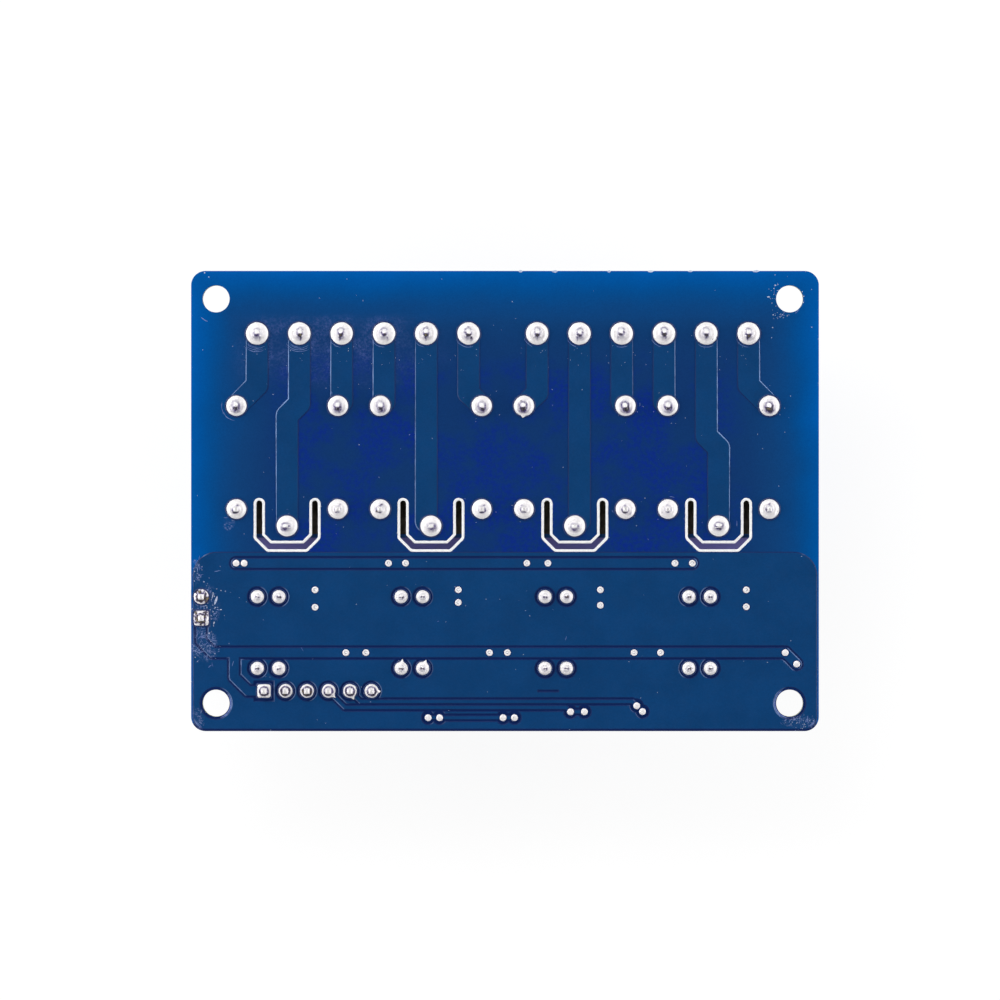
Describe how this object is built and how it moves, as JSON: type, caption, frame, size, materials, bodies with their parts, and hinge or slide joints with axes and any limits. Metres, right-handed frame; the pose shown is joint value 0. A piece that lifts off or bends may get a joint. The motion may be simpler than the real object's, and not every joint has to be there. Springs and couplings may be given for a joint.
{
  "type": "relay module board",
  "caption": "Relay module board lying solder side up: raised coated tracks, solder joints and isolation slots above, with relays, screw terminals, optocouplers and a pin header below",
  "frame": {"origin": "middle of the four mounting holes, on the plane of the relay tops that the part lies on", "axes": "+X along the row of relays, +Y towards the screw terminals, +Z out of the solder side"},
  "size_m": [0.0742, 0.0544, 0.0181],
  "materials": {
    "coated_laminate": "glass-epoxy laminate under a blue solder mask, lighter towards the bare edges",
    "coated_copper": "raised copper under the same blue solder mask",
    "solder": "bright tin solder with dull flux marks",
    "terminal_plastic": "moulded blue thermoplastic, faint mould texture",
    "plated_steel": "zinc-plated steel",
    "tinned_brass": "tin-flashed brass",
    "tinned_lead": "tinned copper lead",
    "black_resin": "moulded black epoxy resin",
    "black_nylon": "moulded black nylon",
    "indicator_lens": "diffused red indicator lens",
    "relay_plastic": "moulded blue relay cover, bare top",
    "relay_base_plastic": "moulded black base with sealing resin",
    "bobbin_nylon": "natural nylon",
    "enamelled_wire": "layers of fine enamelled copper wire",
    "relay_iron": "nickel-plated soft iron",
    "contact_bronze": "phosphor bronze strip with silver contact buttons"
  },
  "bodies": {
    "module": {"board": "coated_laminate", "solder_side_copper": "coated_copper", "component_side_copper": "coated_copper", "vias": "solder", "terminal_joints": "solder", "relay_joints": "solder", "optocoupler_joints": "solder", "header_joints": "solder", "terminal_housing_1": "terminal_plastic", "terminal_housing_2": "terminal_plastic", "terminal_housing_3": "terminal_plastic", "terminal_housing_4": "terminal_plastic", "clamp_screws": "plated_steel", "wire_cages": "plated_steel", "terminal_bars": "tinned_brass", "optocoupler_bodies": "black_resin", "optocoupler_leads": "tinned_lead", "header_housing": "black_nylon", "jumper_housing": "black_nylon", "header_pins": "tinned_brass", "jumper_cap": "black_nylon", "transistor_bodies": "black_resin", "transistor_leads": "tinned_lead", "diode_bodies": "black_resin", "diode_feet": "tinned_lead", "resistor_bodies": "black_resin", "indicator_lenses": "indicator_lens", "chip_ends": "tinned_lead", "relay_cover_1": "relay_plastic", "relay_cover_2": "relay_plastic", "relay_cover_3": "relay_plastic", "relay_cover_4": "relay_plastic", "relay_base_1": "relay_base_plastic", "relay_base_2": "relay_base_plastic", "relay_base_3": "relay_base_plastic", "relay_base_4": "relay_base_plastic", "relay_bobbin_1": "bobbin_nylon", "relay_bobbin_2": "bobbin_nylon", "relay_bobbin_3": "bobbin_nylon", "relay_bobbin_4": "bobbin_nylon", "relay_winding_1": "enamelled_wire", "relay_winding_2": "enamelled_wire", "relay_winding_3": "enamelled_wire", "relay_winding_4": "enamelled_wire", "relay_yoke_1": "relay_iron", "relay_yoke_2": "relay_iron", "relay_yoke_3": "relay_iron", "relay_yoke_4": "relay_iron", "relay_contacts_1": "tinned_brass", "relay_contacts_2": "tinned_brass", "relay_contacts_3": "tinned_brass", "relay_contacts_4": "tinned_brass"},
    "armature_1": {"relay_armature_1": "relay_iron", "relay_spring_1": "contact_bronze"},
    "armature_2": {"relay_armature_2": "relay_iron", "relay_spring_2": "contact_bronze"},
    "armature_3": {"relay_armature_3": "relay_iron", "relay_spring_3": "contact_bronze"},
    "armature_4": {"relay_armature_4": "relay_iron", "relay_spring_4": "contact_bronze"}
  },
  "joints": [
    {"name": "armature_1_hinge", "type": "hinge", "parent": "module", "child": "armature_1", "pos_m": [-0.0255, -0.00085, 0.0045], "axis": [1, 0, 0], "range_deg": [0, 3], "stiffness_Nm_per_rad": 0.001, "springref_deg": -5.73},
    {"name": "armature_2_hinge", "type": "hinge", "parent": "module", "child": "armature_2", "pos_m": [-0.0085, -0.00085, 0.0045], "axis": [1, 0, 0], "range_deg": [0, 3], "stiffness_Nm_per_rad": 0.001, "springref_deg": -5.73},
    {"name": "armature_3_hinge", "type": "hinge", "parent": "module", "child": "armature_3", "pos_m": [0.0085, -0.00085, 0.0045], "axis": [1, 0, 0], "range_deg": [0, 3], "stiffness_Nm_per_rad": 0.001, "springref_deg": -5.73},
    {"name": "armature_4_hinge", "type": "hinge", "parent": "module", "child": "armature_4", "pos_m": [0.0255, -0.00085, 0.0045], "axis": [1, 0, 0], "range_deg": [0, 3], "stiffness_Nm_per_rad": 0.001, "springref_deg": -5.73}
  ]
}
